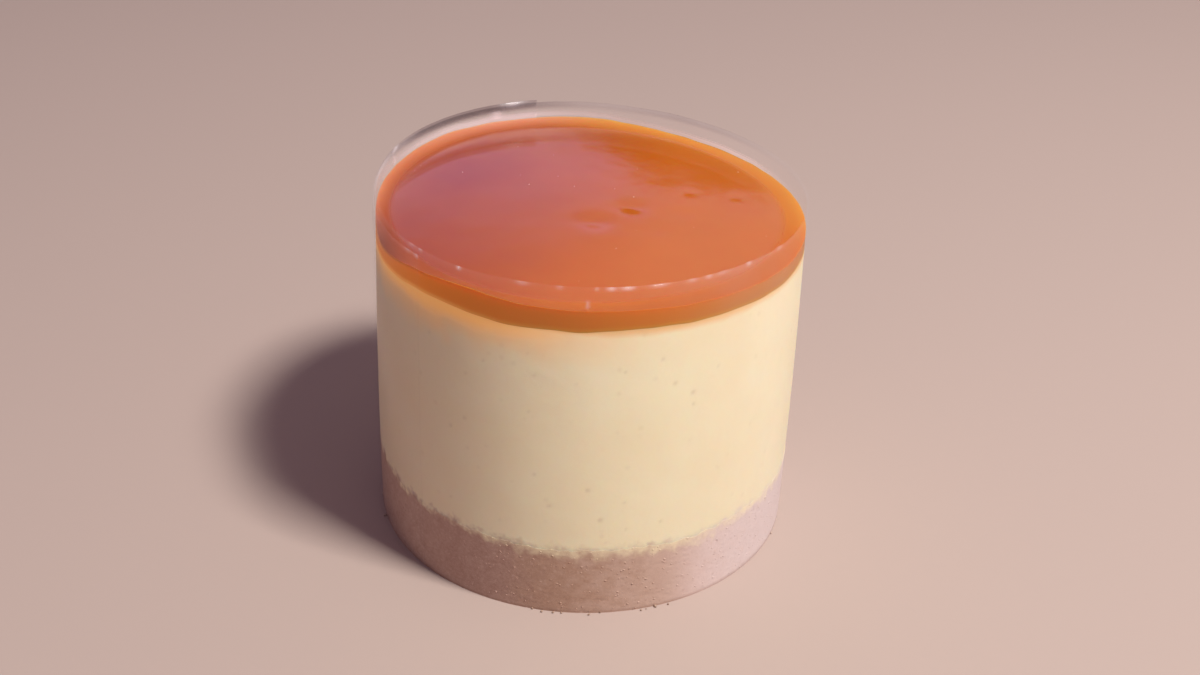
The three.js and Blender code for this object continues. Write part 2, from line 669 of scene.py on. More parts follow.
class Palette:
    """Makes each material, with the shared effects placed in it."""

    def __init__(self) -> None:
        """Builds the shared groups once."""
        self.mottle_tree = mottle_group()
        self.speckle_tree = speckle_group()

    def start(self, name: str) -> tuple[bpy.types.Material, TreeMaker, bpy.types.Node]:
        """Starts a material.

        Args:
            name: the material's name.

        Returns:
            The material, a maker for its empty tree, and its output node.
        """
        material = bpy.data.materials.new(name)
        material.use_nodes = True
        material.node_tree.nodes.clear()
        maker = TreeMaker(material.node_tree)
        return material, maker, maker.node("ShaderNodeOutputMaterial")

    def place(self, maker: TreeMaker) -> Field:
        """The place on the piece, in its own coordinates."""
        return maker.field("ShaderNodeTexCoord", "Object")

    def shared(self, maker: TreeMaker, tree: bpy.types.NodeTree, output: str, **inputs: Any) -> Field:
        """Places a shared group and returns one of its outputs."""
        node = maker.node("ShaderNodeGroup", {"node_tree": tree}, **inputs)
        return Field(maker.tree, node.outputs[output])

    def mottle(
        self, maker: TreeMaker, place: Field, size: float, detail: float = 2.0, contrast: float = 1.6
    ) -> Field:
        """Soft patches of a size."""
        inputs = {"Place": place, "Size": size, "Detail": detail, "Contrast": contrast}
        return self.shared(maker, self.mottle_tree, "Value", **inputs)

    def speckle(
        self, maker: TreeMaker, place: Field, size: float, share: float, reach: float = 0.45
    ) -> Field:
        """Scattered soft dots of a size."""
        inputs = {"Place": place, "Size": size, "Share": share, "Reach": reach}
        return self.shared(maker, self.speckle_tree, "Mask", **inputs)


def attribute(maker: TreeMaker, name: str) -> Field:
    """A mesh attribute's value."""
    return maker.field("ShaderNodeAttribute", "Fac", {"attribute_name": name})


def coordinates(maker: TreeMaker, place: Field) -> tuple[Field, Field, Field]:
    """Splits a place.

    Args:
        maker: the tree's maker.
        place: the place.

    Returns:
        Its three coordinates.
    """
    parts = maker.node("ShaderNodeSeparateXYZ", Vector=place)
    x, y, z = (Field(maker.tree, socket) for socket in parts.outputs)
    return x, y, z


def sideways(maker: TreeMaker, place: Field, towards: float) -> Field:
    """How far a place lies to one side of the cake.

    Args:
        maker: the tree's maker.
        place: the place.
        towards: the side's direction, in degrees.

    Returns:
        1 on the cake's side in that direction, and -1 opposite.
    """
    x, y, _ = coordinates(maker, place)
    way = math.radians(towards)
    return (x * math.cos(way) + y * math.sin(way)) / SIDE_REACH


# ---------------------------------------------------------------- finishes


@dataclass(frozen=True)
class BiscuitFinish:
    """Pressed biscuit crumbs: dry browns with light and dark grains, and a painted sheen on the lit side that
    stands in for the film's reflection.

    toned is how far a piece follows its own attribute "tone", as single grains do.
    """

    name: str = "biscuit_crumb"
    dark: Colour = (0.33, 0.18, 0.13)
    middle: Colour = (0.46, 0.285, 0.22)
    light: Colour = (0.62, 0.44, 0.355)
    front_brown: Colour = (0.42, 0.25, 0.14)
    painted_sheen: Colour = (0.715, 0.545, 0.485)
    cool_painted_sheen: Colour = (0.7, 0.585, 0.565)
    painted_sheen_towards: float = -30.0
    cool_painted_sheen_towards: float = 0.0
    front_brown_towards: float = 277.0
    painted_sheen_share: float = 0.9
    toned: float = 0.0
    roughness: float = 0.85

    def build(self, palette: Palette) -> bpy.types.Material:
        """Makes the material.

        Args:
            palette: the shared effects.

        Returns:
            The material.
        """
        material, maker, output = palette.start(self.name)
        place = palette.place(maker)
        fine = palette.mottle(maker, place, 0.5 * MM, 3.0, 2.0)
        pale = palette.speckle(maker, place, 0.8 * MM, 0.16)
        crumb = self.colour(maker, palette, place)
        colour = maker.mix(blended(maker, palette, place), CheeseFinish.deep, crumb)
        bump = maker.node("ShaderNodeBump", Height=fine + pale * 0.4, Distance=0.04 * MM, Strength=0.3)
        shader = maker.node(
            "ShaderNodeBsdfPrincipled",
            Base_Color=colour,
            Roughness=self.roughness - fine * 0.12,
            Normal=bump.outputs["Normal"],
        )
        plug(maker.tree, output.inputs["Surface"], shader.outputs[0])
        return material

    def colour(self, maker: TreeMaker, palette: Palette, place: Field) -> Field:
        """The crumbs' colour: mottled browns, with a painted sheen on the lit side, browner towards the
        front, and a painted contact shadow at the foot.

        Args:
            maker: the tree's maker.
            palette: the shared effects.
            place: where on the cake.

        Returns:
            The colour.
        """
        broad = palette.mottle(maker, place, 2.6 * MM, 2.0, 2.2)
        fine = palette.mottle(maker, place, 0.5 * MM, 3.0, 2.0)
        colour = maker.mix(fine * 0.6 + broad * 0.4, self.dark, self.light)
        colour = maker.mix(0.55, colour, self.middle)
        colour = maker.mix(self.toned, colour, maker.mix(attribute(maker, "tone"), self.dark, self.light))
        # painted sheen: the lit right side is washed paler, and cooler at its far edge, standing in for the
        # film's reflection
        painted_sheen_mask = maker.smooth(sideways(maker, place, self.painted_sheen_towards) + broad * 0.25, 0.46, 1.06)
        cool_sheen_mask = maker.smooth(sideways(maker, place, self.cool_painted_sheen_towards) + broad * 0.1, 0.35, 1.0)
        colour = maker.mix(painted_sheen_mask * self.painted_sheen_share, colour, maker.mix(cool_sheen_mask, self.painted_sheen, self.cool_painted_sheen))
        # darker and browner towards the front
        front_browning = maker.smooth(sideways(maker, place, self.front_brown_towards) + broad * 0.05, 0.93, 1.04)
        colour = maker.mix(front_browning * 0.45, colour, self.front_brown)
        # painted contact shadow: the lowest 0.8 mm darkens towards the ground, on the loose crumbs too
        foot = maker.smooth(coordinates(maker, place)[2], 0.1 * MM, 0.8 * MM, 0.45, 0.0)
        colour = maker.mix(foot, colour, self.dark)
        pale = palette.speckle(maker, place, 0.8 * MM, 0.16)
        burnt = palette.speckle(maker, place, 0.6 * MM, 0.1)
        colour = maker.mix(pale * 0.35, colour, self.light)
        return maker.mix(burnt * 0.3, colour, self.dark)


def blended(maker: TreeMaker, palette: Palette, place: Field) -> Field:
    """How much of a place is crumb, rather than cheesecake, near the ragged line where they meet.

    It reads the attribute "height", in millimetres above that line.

    Args:
        maker: the tree's maker.
        palette: the shared effects.
        place: where on the cake.

    Returns:
        1 well below the line, and 0 well above it.
    """
    small = palette.mottle(maker, place, 0.8 * MM, 1.0, 2.0)
    large = palette.mottle(maker, place, 2.4 * MM, 1.0, 2.6)
    x, _, _ = coordinates(maker, place)
    reach = maker.smooth(x, -26 * MM, -2 * MM, 1.0, 2.0)
    above = attribute(maker, "height") + small * 0.9 + large * 1.5 - 1.2 + (reach - 1.0) * 0.5
    return maker.smooth(above / reach, -1.0, 1.0, 1.0, 0.0)


@dataclass(frozen=True)
class CheeseFinish:
    """Set cream cheese: pale, a little uneven, with small grey specks and caramel soaked in at the top;
    painted shade darkens its left side and tones down its lit right side, and the thick stain has a painted
    glow.
    """

    pale: Colour = (0.9, 0.84, 0.585)
    deep: Colour = (0.87, 0.755, 0.49)
    speck: Colour = (0.5, 0.39, 0.25)
    soaked: Colour = (0.84, 0.4, 0.11)
    shaded: Colour = (0.45, 0.22, 0.15)
    top: float = CakeForm.cheese_top
    soaked_towards: float = 207.0
    shaded_towards: float = 188.0
    dimmed_lit_side_towards: float = -20.0

    def build(self, palette: Palette) -> bpy.types.Material:
        """Makes the material.

        Args:
            palette: the shared effects.

        Returns:
            The material.
        """
        material, maker, output = palette.start("set_cheesecake")
        place = palette.place(maker)
        broad = palette.mottle(maker, place, 11 * MM, 3.0, 1.5)
        fine = palette.mottle(maker, place, 0.7 * MM, 2.0, 1.6)
        colour = maker.mix(broad * 0.75 + fine * 0.25, self.pale, self.deep)
        faint = palette.speckle(maker, place, 1.9 * MM, 0.1, 0.3)
        # painted shade: the left side, away from the lamp, is darkened towards the shaded colour
        far = maker.smooth(sideways(maker, place, self.shaded_towards), 0.55, 0.97)
        colour = maker.mix(far * 0.3, colour, self.shaded)
        # painted shade on the lit right side: darkened a little towards the speck colour to tone down the key
        # light
        near = maker.smooth(sideways(maker, place, self.dimmed_lit_side_towards), 0.4, 0.95)
        colour = maker.mix(near * 0.15, colour, self.speck)
        specks = attribute(maker, "speck").apply("MAXIMUM", faint * 0.3)
        colour = maker.mix(specks * 0.45, colour, self.speck)
        crumb = BiscuitFinish().colour(maker, palette, place)
        colour = maker.mix(blended(maker, palette, place), colour, crumb)
        stained, soaked = self.soak(maker, palette, place)
        colour = maker.mix(stained.apply("MAXIMUM", soaked), colour, self.soaked)
        bump = maker.node("ShaderNodeBump", Height=fine, Distance=0.03 * MM, Strength=0.4)
        shader = maker.node(
            "ShaderNodeBsdfPrincipled",
            Base_Color=colour,
            Roughness=0.5 + fine * 0.12,
            Normal=bump.outputs["Normal"],
            Subsurface_Weight=0.35,
            Subsurface_Radius=(1.0, 0.45, 0.2),
            Subsurface_Scale=1.5 * MM,
            # painted glow: the thick stain on the left gives off light, as if carried down through the
            # caramel; soaked is both the stain's colour and the glow's
            Emission_Color=maker.mix(soaked, BLACK, self.soaked),
            Emission_Strength=0.33,
        )
        plug(maker.tree, output.inputs["Surface"], shader.outputs[0])
        return material

    def soak(self, maker: TreeMaker, palette: Palette, place: Field) -> tuple[Field, Field]:
        """How much caramel has soaked in at the top edge.

        Args:
            maker: the tree's maker.
            palette: the shared effects.
            place: where on the cake.

        Returns:
            A faint stain with a thin line at the edge, and the thick stain on one side, which also gets a
            painted glow.
        """
        depth = (self.top - coordinates(maker, place)[2]) / MM
        side = sideways(maker, place, self.soaked_towards)
        uneven = palette.mottle(maker, place, 5 * MM, 2.0, 1.4) * 0.6 + 0.7
        faint = maker.smooth(depth / uneven, 0.0, 8.0, 1.0, 0.0) * maker.smooth(side, 0.1, 0.9, 0.04, 0.65)
        line = maker.smooth(depth / uneven, 0.0, 1.8, 0.7, 0.0)
        thick = maker.smooth(depth / uneven, 0.2, 5.0, 1.0, 0.0) * maker.smooth(side, 0.2, 0.9, 0.0, 0.95)
        return faint.apply("MAXIMUM", line), thick.apply("MAXIMUM", faint * 0.8)


@dataclass(frozen=True)
class CaramelFinish:
    """Salted caramel: darker towards the left and deeper amber to the right, golden at its thin edges, under
    a smooth wet skin; its side has painted light and a painted glow, and its front edge painted shade.
    """

    deep: Colour = (0.3, 0.047, 0.006)
    amber: Colour = (0.51, 0.123, 0.009)
    golden: Colour = (0.63, 0.265, 0.035)
    dusky: Colour = (0.57, 0.195, 0.09)
    lit_side: Colour = (0.5, 0.185, 0.04)
    side: Colour = (0.56, 0.165, 0.014)
    painted_glow: Colour = (0.6, 0.14, 0.0)
    shadowed: Colour = (0.26, 0.055, 0.006)

    def build(self, palette: Palette) -> bpy.types.Material:
        """Makes the material.

        Args:
            palette: the shared effects.

        Returns:
            The material.
        """
        material, maker, output = palette.start("salted_caramel")
        place = palette.place(maker)
        x, y, _ = coordinates(maker, place)
        broad = palette.mottle(maker, place, 14 * MM, 2.0, 1.7)
        fine = palette.mottle(maker, place, 1.2 * MM, 2.0, 1.5)
        across = maker.smooth(x + y * -0.25, -30 * MM, 18 * MM)
        colour = maker.mix(across * 0.85 + broad * 0.2 - 0.03, self.deep, self.amber)
        edge, rim = attribute(maker, "edge"), attribute(maker, "rim")
        thin = edge * maker.smooth(y, -16 * MM, 4 * MM) * 0.88
        thin_colour = maker.mix(maker.smooth(x, -14 * MM, 6 * MM), self.dusky, self.golden)
        colour = maker.mix(thin, colour, thin_colour)
        # painted shade: the thin edge at the front is darkened towards the shadowed colour
        hidden = edge * maker.smooth(y, -22 * MM, -8 * MM, 1.0, 0.0)
        colour = maker.mix(hidden * 0.15, colour, self.shadowed)
        side, depth = attribute(maker, "side"), attribute(maker, "depth")
        # painted light: towards the right the side takes a paler, lit copy of its colour
        shown = maker.mix(maker.smooth(x, 8 * MM, 32 * MM), self.side, self.lit_side)
        colour = maker.mix(side * maker.smooth(depth, -0.6, 0.6), colour, shown)
        thinned = side * maker.smooth(attribute(maker, "foot"), 0.0, 0.9, 0.65, 0.0)
        colour = maker.mix(thinned, colour, self.golden)
        # painted glow: the side gives off light, most on the left, as if carried through the caramel from its
        # lit top
        glow = side * maker.smooth(x, -36 * MM, 0.0, 1.0, 0.0) * maker.smooth(depth, 0.05, 0.6, 0.25)
        painted_glow = maker.mix(thinned, self.painted_glow, CheeseFinish.soaked)
        wavy = palette.mottle(maker, place, 3.5 * MM)
        bump = maker.node("ShaderNodeBump", Height=wavy, Distance=0.006 * MM)
        shader = maker.node(
            "ShaderNodeBsdfPrincipled",
            Base_Color=colour,
            Roughness=rim * 0.45 + fine * 0.04 + 0.05,
            Normal=bump.outputs["Normal"],
            IOR=1.47,
            Subsurface_Weight=0.5,
            Subsurface_Radius=(1.0, 0.3, 0.06),
            Subsurface_Scale=3 * MM,
            Coat_Weight=(1.0 - side) * (1.0 - rim) * 0.35,
            Coat_Roughness=0.04,
            Emission_Color=maker.mix(glow, BLACK, painted_glow),
            Emission_Strength=0.42,
        )
        plug(maker.tree, output.inputs["Surface"], shader.outputs[0])
        return material


@dataclass(frozen=True)
class FleckFinish:
    """Salt flecks and tiny bubbles in the caramel's skin."""

    colour: Colour = (0.84, 0.54, 0.4)
    duller: Colour = (0.8, 0.5, 0.35)

    def build(self, palette: Palette) -> bpy.types.Material:
        """Makes the material.

        Args:
            palette: the shared effects.

        Returns:
            The material.
        """
        material, maker, output = palette.start("salt_fleck")
        fine = palette.mottle(maker, palette.place(maker), 0.2 * MM, 2.0, 1.4)
        shader = maker.node(
            "ShaderNodeBsdfPrincipled",
            Base_Color=maker.mix(fine * 0.3, self.colour, self.duller),
            Roughness=0.25 + fine * 0.1,
        )
        plug(maker.tree, output.inputs["Surface"], shader.outputs[0])
        return material


class FilmPart(Enum):
    """The faces of the film strip that are finished apart."""

    SHEET = "clear_film"
    CUT_EDGE = "film_cut_edge"


@dataclass(frozen=True)
class FilmFinish:
    """Clear film: it mirrors a little, is slightly hazy above the caramel, and has painted glints along its
    rim, painted reflections, glare and light in its haze, and painted shade at its rim.
    """

    haze: float = 0.014
    wet_haze: float = 0.002
    edge_haze: float = 0.02
    tint: Colour = (0.95, 0.86, 0.88)
    shade: Colour = (0.74, 0.71, 0.72)
    roughness: float = 0.06
    mirror_index: float = 1.42
    gloss: float = 0.11

    def build(self, palette: Palette, part: FilmPart) -> bpy.types.Material:
        """Makes the material of one kind of face.

        Args:
            palette: the shared effects.
            part: the kind of face.

        Returns:
            The material.
        """
        material, maker, output = palette.start(part.value)
        place = palette.place(maker)
        outside = 1.0 - maker.field("ShaderNodeNewGeometry", "Backfacing")
        clear = maker.node("ShaderNodeBsdfTransparent", Color=self.through(maker))
        smudge = palette.mottle(maker, place, 9 * MM, 3.0, 1.8)
        matt = maker.node(
            "ShaderNodeBsdfPrincipled",
            Base_Color=(*self.tint, 1.0),
            Roughness=0.35 + smudge * 0.1,
            # painted light: the haze glows where it is marked lit, as if catching the lamp
            Emission_Color=maker.mix(attribute(maker, "lit"), BLACK, self.tint),
            Emission_Strength=0.5,
        )
        haze = self.haziness(maker, part, smudge) * outside
        sheet = maker.node("ShaderNodeMixShader")
        self.join(maker, sheet, haze, clear, matt)
        ripple = palette.mottle(maker, place, 7 * MM, 1.0, 1.5)
        bump = maker.node("ShaderNodeBump", Height=ripple, Distance=0.12 * MM, Strength=0.5)
        gloss = maker.node("ShaderNodeBsdfAnisotropic", {"distribution": "GGX"})
        gloss.inputs["Roughness"].default_value = self.roughness
        plug(maker.tree, gloss.inputs["Normal"], bump.outputs["Normal"])
        fresnel = maker.node("ShaderNodeFresnel", IOR=self.mirror_index, Normal=bump.outputs["Normal"])
        mirrored = Field(maker.tree, fresnel.outputs["Fac"]) * self.gloss * outside
        whole = maker.node("ShaderNodeMixShader")
        self.join(maker, whole, mirrored, sheet, gloss)
        plug(maker.tree, output.inputs["Surface"], whole.outputs[0])
        return material

    def through(self, maker: TreeMaker) -> Field:
        """The colour of what passes: clear, but for painted shade on the rim at the back, mostly where two
        turns lie together.
        """
        near_rim = maker.smooth(attribute(maker, "below"), 0.7, 1.7, 1.0, 0.0)
        return maker.mix(attribute(maker, "shade") * near_rim, (1.0, 1.0, 1.0), self.shade)

    def haziness(self, maker: TreeMaker, part: FilmPart, smudge: Field) -> Field:
        """How much of the film is hazed over, by what lies behind it, by painted reflections, glare and
        highlight streaks, and by the painted glints in its rim.

        Args:
            maker: the tree's maker.
            part: the kind of face.
            smudge: soft patches, from 0 to 1.

        Returns:
            The share that is haze rather than clear.
        """
        near_rim = maker.smooth(attribute(maker, "below"), 0.1, 0.9, 1.0, 0.0)
        # painted glints: listed spots of bright haze along the rim, where it catches light
        glint = attribute(maker, "glint") * near_rim
        if part is FilmPart.CUT_EDGE:
            return glint * 0.5 + self.edge_haze
        above = attribute(maker, "above")
        # above the caramel: the film's own haze, raised in some directions as painted reflection
        haze_and_reflection = (attribute(maker, "mist_and_reflection") * 8.0 + 1.0) * self.haze
        # painted glare: below the caramel's line the film is hazed more at the front right, standing in for a
        # reflection
        wet = attribute(maker, "painted_glare") * 0.055 + self.wet_haze
        free = (wet + (haze_and_reflection - wet) * maker.smooth(above, -0.3, 1.2)) * (smudge * 0.8 + 0.6)
        # painted reflection line: a thin band of haze just above the caramel's edge
        reflection_line_band = maker.smooth(above, -0.2, 0.2) * maker.smooth(above, 0.5, 1.5, 1.0, 0.0)
        # painted highlight streaks: small light marks from 0.3 to 2.4 mm above the caramel's edge
        streak_band = maker.smooth(above, 0.3, 0.9) * maker.smooth(above, 1.6, 2.4, 1.0, 0.0)
        highlight_streaks = attribute(maker, "highlight_streak") * streak_band
        return free + glint * 0.42 + reflection_line_band * attribute(maker, "painted_reflection_line") * 0.45 + highlight_streaks

    def join(
        self,
        maker: TreeMaker,
        mixer: bpy.types.Node,
        share: Field,
        first: bpy.types.Node,
        second: bpy.types.Node,
    ) -> None:
        """Plugs a share and two shaders into a Mix Shader node.

        Args:
            maker: the tree's maker.
            mixer: the Mix Shader node.
            share: how much of the second shader there is.
            first: the first shader.
            second: the second shader.
        """
        for place, value in enumerate((share, first.outputs[0], second.outputs[0])):
            plug(maker.tree, mixer.inputs[place], value)


@dataclass(frozen=True)
class FloorFinish:
    """A plain pale floor."""

    colour: Colour = (0.445, 0.345, 0.3)
    patchy: float = 0.96

    def build(self, palette: Palette) -> bpy.types.Material:
        """Makes the material.

        Args:
            palette: the shared effects.

        Returns:
            The material.
        """
        material, maker, output = palette.start("pale_floor")
        broad = palette.mottle(maker, palette.place(maker), 0.3, 2.0, 1.2)
        darker = tuple(self.patchy * part for part in self.colour)
        shader = maker.node(
            "ShaderNodeBsdfPrincipled",
            Base_Color=maker.mix(broad, self.colour, darker),
            Roughness=0.75,
        )
        plug(maker.tree, output.inputs["Surface"], shader.outputs[0])
        return material


# ---------------------------------------------------------------- the film collar


@dataclass(frozen=True)
class FilmCollar:
    """The strip of clear film, wound round the cake and over its own inner end.

    The bells say where its finish has marks: painted glints in the rim, painted highlight streaks, a painted
    reflection line over the caramel, mist above it that is partly haze and partly painted reflection, a
    painted glare in front of it, painted light caught in the mist, and painted shade on the rim at the back.
    """

    thickness: float = 0.25 * MM
    start: float = math.radians(106)
    turn: float = math.radians(480)
    slant: float = 0.9 * MM
    lap_gap: float = 0.15 * MM
    rise_from: float = math.radians(324)
    rise_to: float = math.radians(356)
    loose_angle: float = math.radians(44)
    loose_gap: float = 0.5 * MM
    ripple: float = 0.1 * MM
    columns: int = 961
    rows: int = 48
    glints: tuple[Bell, ...] = (
        Bell(222, 1.2, 0.22),
        Bell(225.5, 0.8, 0.28),
        Bell(238.5, 0.6, 0.7),
        Bell(255, 1.5, 0.3),
        Bell(264, 0.8, 0.25),
        Bell(272.6, 0.5, 0.3),
        Bell(276.0, 1.1, 0.6),
        Bell(279.9, 1.5, 0.62),
        Bell(287.5, 2.2, 0.34),
        Bell(296, 1.3, 0.25),
        Bell(300.5, 1.0, 0.35),
        Bell(304.5, 1.8, 0.2),
        Bell(313, 0.8, 0.4),
        Bell(325, 1.2, 0.22),
        Bell(113, 3.0, 0.7),
        Bell(160, 1.5, 0.5),
    )
    highlight_streaks: tuple[Bell, ...] = (Bell(270.6, 0.4, 0.28), Bell(161, 0.8, 0.3), Bell(118, 1.6, 0.3))
    painted_reflection_line: tuple[Bell, ...] = (Bell(112, 45), Bell(44, 24, 0.9))
    mist_and_reflection: tuple[Bell, ...] = (Bell(180, 35), Bell(90, 20, 0.4), Bell(50, 35, 0.5), Bell(318, 22, 0.5))
    painted_glare: tuple[Bell, ...] = (Bell(325, 22),)
    lit: tuple[Bell, ...] = (Bell(35, 40),)
    shade: tuple[Bell, ...] = (Bell(128, 26, 1.6), Bell(62, 28, 0.45))

    def sizes(self, form: CakeForm) -> dict[str, float]:
        """The strip's sizes, by the names of the tree's inputs.

        Args:
            form: the cake that the strip goes round.

        Returns:
            The sizes.
        """
        return {
            "Height": form.film_height,
            "Thickness": self.thickness,
            "Start": self.start,
            "Turn": self.turn,
            "Slant": self.slant,
            "Lap Gap": self.lap_gap,
            "Loose Gap": self.loose_gap,
            "Ripple": self.ripple,
        }

    def tree(self, form: CakeForm, film: bpy.types.Material, edge: bpy.types.Material) -> bpy.types.NodeTree:
        """Builds the Geometry Nodes that bend a flat strip round the cake.

        Args:
            form: the cake that the strip follows.
            film: the material of the strip's two faces.
            edge: the material of its cut edges.

        Returns:
            The tree.
        """
        inputs = {name: (Interface.NUMBER, size) for name, size in self.sizes(form).items()}
        maker, start, end = group("wound_strip", "GeometryNodeTree", inputs, {"Geometry": Interface.GEOMETRY})
        given = {name: Field(maker.tree, start.outputs[name]) for name in inputs}
        size = maker.node("ShaderNodeCombineXYZ", X=given["Turn"], Y=given["Height"], Z=given["Thickness"])
        flat = maker.node(
            "GeometryNodeMeshCube",
            Size=size.outputs[0],
            Vertices_X=self.columns,
            Vertices_Y=self.rows,
            Vertices_Z=2,
        )
        facing = maker.node("ShaderNodeSeparateXYZ", Vector=maker.field("GeometryNodeInputNormal", "Normal"))
        sheet = Field(maker.tree, facing.outputs["Z"]).apply("ABSOLUTE").apply("GREATER_THAN", 0.5)
        whole = maker.node("GeometryNodeSetMaterial", Geometry=flat.outputs["Mesh"], Material=film)
        edged = maker.node(
            "GeometryNodeSetMaterial",
            Geometry=whole.outputs[0],
            Selection=1.0 - sheet,
            Material=edge,
        )
        smooth = maker.node("GeometryNodeSetShadeSmooth", Geometry=edged.outputs[0], Shade_Smooth=sheet)
        marked = maker.node(
            "GeometryNodeStoreNamedAttribute",
            {"domain": "POINT", "data_type": "FLOAT"},
            Geometry=smooth.outputs[0],
            Name="below",
            Value=self.below(maker, given),
        )
        bent = maker.node(
            "GeometryNodeSetPosition",
            Geometry=marked.outputs[0],
            Position=self.bend(maker, form, given),
        )
        real = maker.node("GeometryNodeRealizeInstances", Geometry=bent.outputs[0])
        maker.tree.links.new(real.outputs[0], end.inputs["Geometry"])
        return maker.tree

    def below(self, maker: TreeMaker, given: dict[str, Field]) -> Field:
        """How far below the rim each point lies, in millimetres."""
        up = coordinates(maker, maker.field("GeometryNodeInputPosition", "Position"))[1]
        return (given["Height"] * 0.5 - up) / MM

    def mark_faces(self, mesh: bpy.types.Mesh, form: CakeForm) -> None:
        """Marks how far above the caramel's edge each point lies, and where the finish has its marks.

        Args:
            mesh: the strip, wound round the cake's own axis.
            form: the cake.
        """
        points = mesh_points(mesh)
        angle = np.arctan2(points[:, 1], points[:, 0])
        line = form.caramel_top(angle, np.ones_like(angle))
        mark(mesh, "above", (points[:, 2] - line) / MM)
        listed = {
            "glint": self.glints,
            "highlight_streak": self.highlight_streaks,
            "painted_reflection_line": self.painted_reflection_line,
            "mist_and_reflection": self.mist_and_reflection,
            "painted_glare": self.painted_glare,
            "lit": self.lit,
        }
        for name, marks in listed.items():
            mark(mesh, name, np.minimum(bells(angle, marks), 1.0))
        on_end = np.cos(angle - self.start) >= 1  # the strip's own end stays clear
        mark(mesh, "shade", np.where(on_end, 0.0, np.minimum(bells(angle, self.shade), 1.0)))

    def bend(self, maker: TreeMaker, form: CakeForm, given: dict[str, Field]) -> bpy.types.NodeSocket:
        """Bends the flat strip round the cake.

        Args:
            maker: the tree's maker.
            form: the cake.
            given: the tree's inputs.

        Returns:
            The place of each point, from its place on the flat strip.
        """
        along, up, through = coordinates(maker, maker.field("GeometryNodeInputPosition", "Position"))
        turned = along + given["Turn"] * 0.5
        height = up + given["Height"] * 0.5
        angle = turned + given["Start"]
        lap = given["Thickness"] + given["Lap Gap"]
        stand_off = maker.smooth(turned, self.rise_from, self.rise_to) * lap
        loose = maker.smooth(turned, self.turn - self.loose_angle, self.turn) * given["Loose Gap"]
        flat_place = maker.node("ShaderNodeCombineXYZ", X=turned * 2.0, Y=height / (24 * MM))
        wave = maker.field(
            "ShaderNodeTexNoise",
            "Fac",
            {"noise_dimensions": "2D"},
            Vector=flat_place.outputs[0],
            Scale=1.6,
            Detail=1.0,
        )
        free = maker.smooth(height, form.cheese_top, form.film_height)
        rippled = (wave - 0.5) * given["Ripple"] * (free * 3.0 + 0.6)
        radius = form.film_radius(angle, height, cosine) + stand_off + loose
        radius = radius + through + given["Thickness"] * 0.5 + rippled
        lift = given["Slant"] * (1.0 - turned / given["Turn"])
        placed = maker.node(
            "ShaderNodeCombineXYZ",
            X=radius * cosine(angle),
            Y=radius * angle.apply("SINE"),
            Z=height + lift,
        )
        return placed.outputs[0]

    def build(self, form: CakeForm, palette: Palette, finish: FilmFinish) -> bpy.types.Object:
        """Makes the strip.

        Args:
            form: the cake.
            palette: the shared effects.
            finish: the film's finish.

        Returns:
            The strip, round the cake's own axis.
        """
        materials = [finish.build(palette, part) for part in (FilmPart.SHEET, FilmPart.CUT_EDGE)]
        carrier = bpy.data.objects.new("strip_carrier", bpy.data.meshes.new("strip_carrier"))
        bpy.context.scene.collection.objects.link(carrier)
        strip = grown("film_strip", carrier, self.tree(form, *materials), self.sizes(form))
        bpy.data.objects.remove(carrier)
        self.mark_faces(strip.data, form)
        return strip


# ---------------------------------------------------------------- the layers


